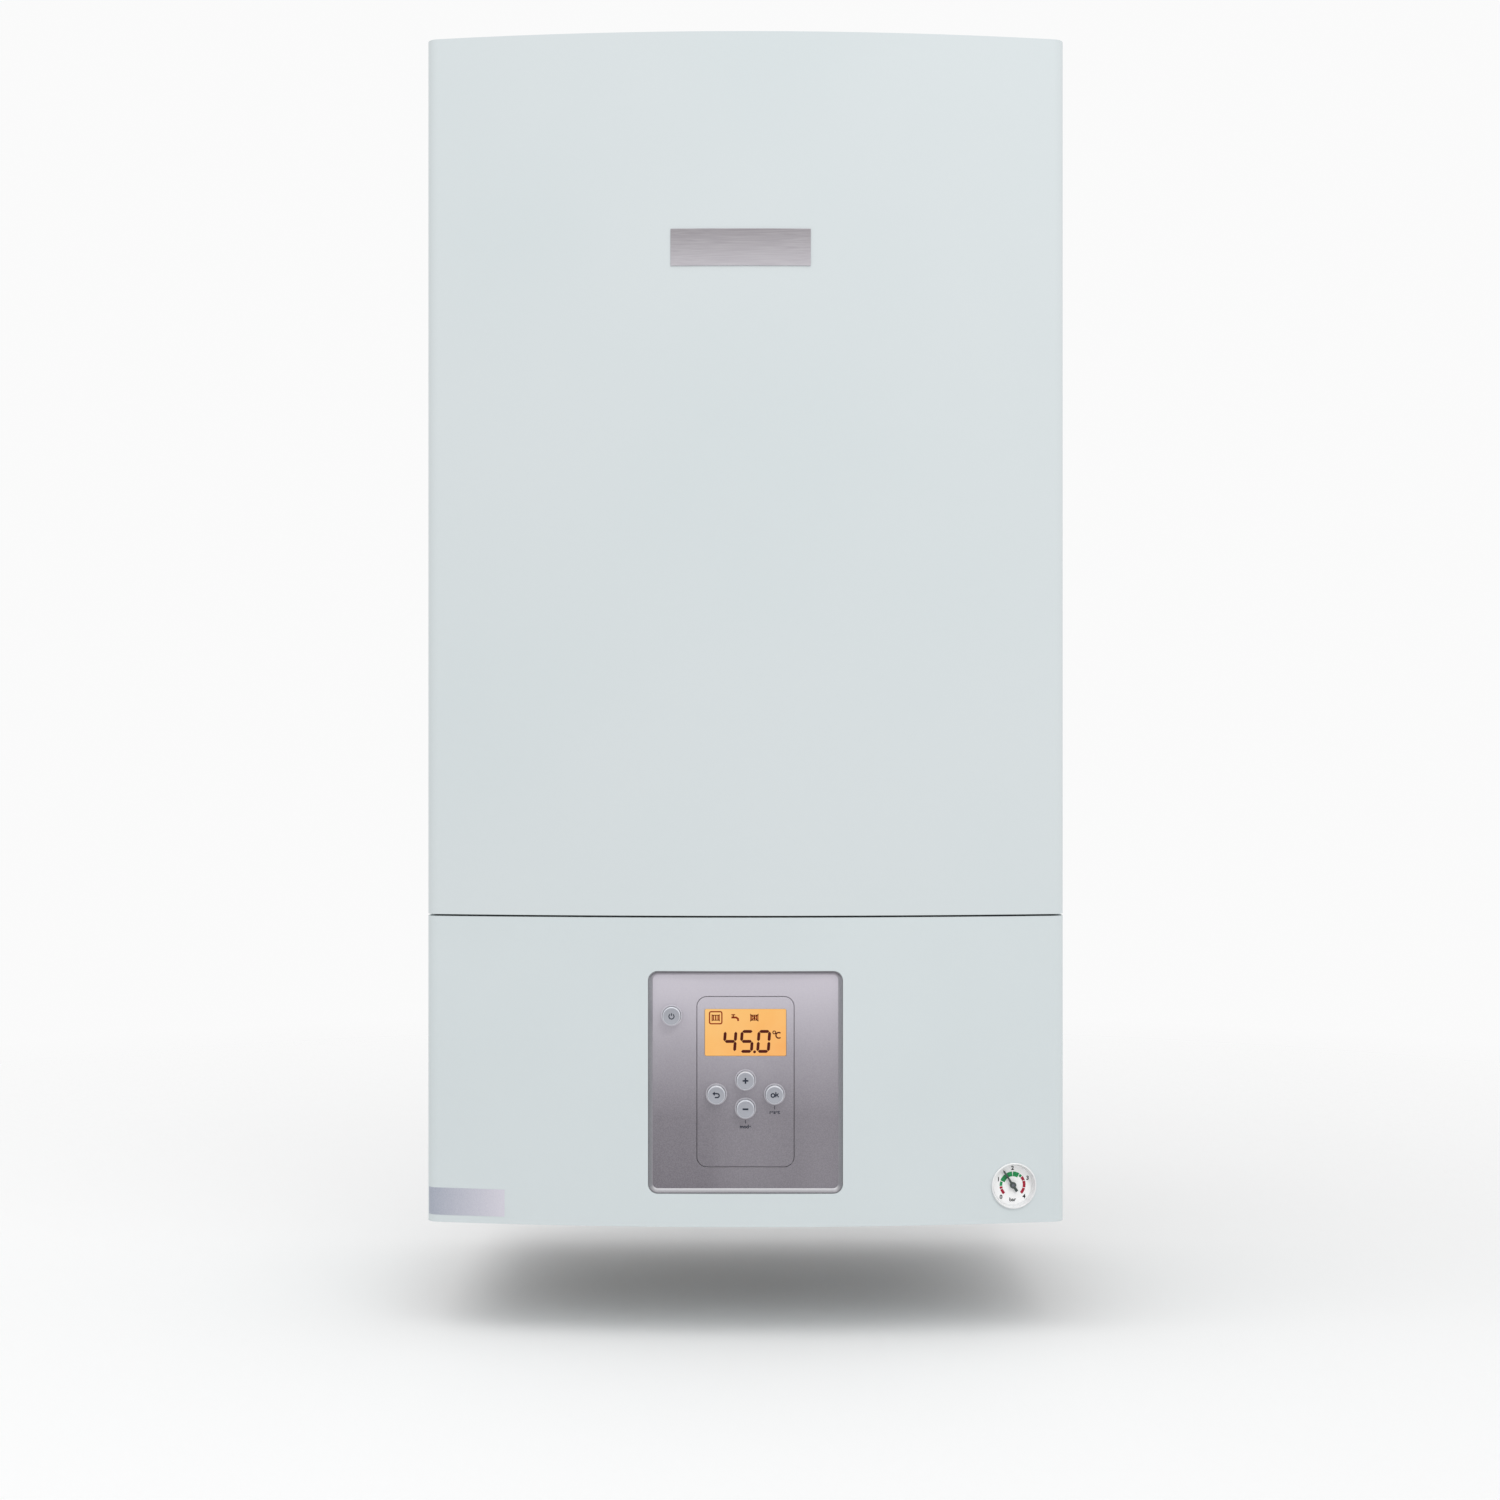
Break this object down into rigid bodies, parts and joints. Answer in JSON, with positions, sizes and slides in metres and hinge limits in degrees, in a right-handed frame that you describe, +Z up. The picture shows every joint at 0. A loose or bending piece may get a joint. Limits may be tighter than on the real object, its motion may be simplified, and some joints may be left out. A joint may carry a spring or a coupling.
{
  "type": "combi boiler",
  "caption": "Wall-hung gas combi boiler: bowed white cover, fold-down console with display, buttons and pressure gauge, and its water, gas and flue parts.",
  "frame": {"origin": "in the wall plane, midway between the two hanging holes of the back frame", "axes": "+Z up, +X to the right seen from the front, the front faces -Y, +Y into the wall"},
  "size_m": [0.4032, 0.3009, 0.742],
  "materials": {
    "casing_enamel": "smooth white powder coat",
    "console_plastic": "white moulded plastic matched to the cover",
    "galvanised": "galvanised sheet",
    "screw_steel": "zinc plated",
    "silver_plastic": "silver metallic paint on moulded plastic",
    "button_plastic": "satin silver grey",
    "display_glass": "orange backlit window",
    "circuit_board": "green solder mask",
    "black_plastic": "black moulded plastic",
    "grey_plastic": "grey moulded plastic",
    "gauge_white": "white moulded plastic",
    "dial_face": "printed white dial",
    "clear_lens": "clear window",
    "needle_paint": "dark painted pointer",
    "cast_aluminium": "raw casting",
    "stainless": "stainless sheet",
    "vessel_red": "red enamel",
    "brass": "turned and cast brass",
    "copper": "copper tube",
    "pump_casting": "dark painted casting",
    "knob_blue": "blue moulded plastic",
    "white_ceramic": "glazed insulators",
    "spring_steel": "spring steel"
  },
  "bodies": {
    "root": {"back_frame": "galvanised", "top_plate": "casing_enamel", "skirt_left": "casing_enamel", "skirt_right": "casing_enamel", "base_tray": "galvanised", "cross_rail": "galvanised", "flue_collar": "cast_aluminium", "flue_duct": "stainless", "expansion_vessel": "vessel_red", "vessel_brackets": "galvanised", "vessel_hose": "black_plastic", "heat_cell": "cast_aluminium", "sump": "black_plastic", "condensate_trap": "grey_plastic", "fan_housing": "cast_aluminium", "fan_motor": "black_plastic", "burner_hood": "cast_aluminium", "electrodes": "white_ceramic", "venturi": "black_plastic", "gas_valve": "cast_aluminium", "gas_pipe": "copper", "left_hydroblock": "brass", "right_hydroblock": "brass", "plate_heat_exchanger": "stainless", "pump_body": "pump_casting", "pump_motor": "black_plastic", "diverter_motor": "grey_plastic", "safety_valve": "brass", "filling_tap": "brass", "flow_pipe": "copper", "return_pipe": "copper", "air_vent": "brass", "cable_gland": "black_plastic", "console_clips": "spring_steel", "hinge_brackets": "galvanised", "hinge_pins": "screw_steel"},
    "front_cover": {"front_cover": "casing_enamel", "cover_screws": "screw_steel"},
    "console": {"console": "console_plastic", "control_fascia": "silver_plastic", "display_insert": "silver_plastic", "display_module": "display_glass", "display_board": "circuit_board", "control_box": "black_plastic", "main_board": "circuit_board", "gauge_housing": "gauge_white", "gauge_dial": "dial_face", "gauge_lens": "clear_lens"},
    "gauge_needle": {"gauge_needle": "needle_paint"},
    "fan_impeller": {"fan_impeller": "stainless"},
    "filling_knob": {"filling_knob": "knob_blue"},
    "plus_button": {"plus_button": "button_plastic"},
    "minus_button": {"minus_button": "button_plastic"},
    "back_button": {"back_button": "button_plastic"},
    "ok_button": {"ok_button": "button_plastic"},
    "power_button": {"power_button": "button_plastic"}
  },
  "joints": [
    {"name": "cover_lift_off", "type": "slide", "parent": "root", "child": "front_cover", "axis": [0, -1, 0], "range_m": [0, 0.25]},
    {"name": "console_fold", "type": "hinge", "parent": "root", "child": "console", "pos_m": [0, -0.2234, -0.689], "axis": [1, 0, 0], "range_deg": [0, 90]},
    {"name": "gauge_pointer", "type": "hinge", "parent": "console", "child": "gauge_needle", "pos_m": [0.1679, -0.28735, -0.6737], "axis": [0.1499, -0.9887, 0], "range_deg": [-168.75, 101.25]},
    {"name": "fan_spin", "type": "hinge", "parent": "root", "child": "fan_impeller", "pos_m": [0.112, -0.195, -0.0637], "axis": [0, 1, 0], "continuous": true},
    {"name": "filling_tap_turn", "type": "hinge", "parent": "root", "child": "filling_knob", "pos_m": [0.0975, -0.112, -0.665], "axis": [0, 0, 1], "range_deg": [0, 90]},
    {"name": "plus_press", "type": "slide", "parent": "console", "child": "plus_button", "axis": [0, 1, 0], "range_m": [0, 0.0012], "stiffness_N_per_m": 600, "springref_m": -0.0003},
    {"name": "minus_press", "type": "slide", "parent": "console", "child": "minus_button", "axis": [0, 1, 0], "range_m": [0, 0.0012], "stiffness_N_per_m": 600, "springref_m": -0.0003},
    {"name": "back_press", "type": "slide", "parent": "console", "child": "back_button", "axis": [0, 1, 0], "range_m": [0, 0.0012], "stiffness_N_per_m": 600, "springref_m": -0.0003},
    {"name": "ok_press", "type": "slide", "parent": "console", "child": "ok_button", "axis": [0, 1, 0], "range_m": [0, 0.0012], "stiffness_N_per_m": 600, "springref_m": -0.0003},
    {"name": "power_press", "type": "slide", "parent": "console", "child": "power_button", "axis": [0, 1, 0], "range_m": [0, 0.0012], "stiffness_N_per_m": 600, "springref_m": -0.0003}
  ]
}
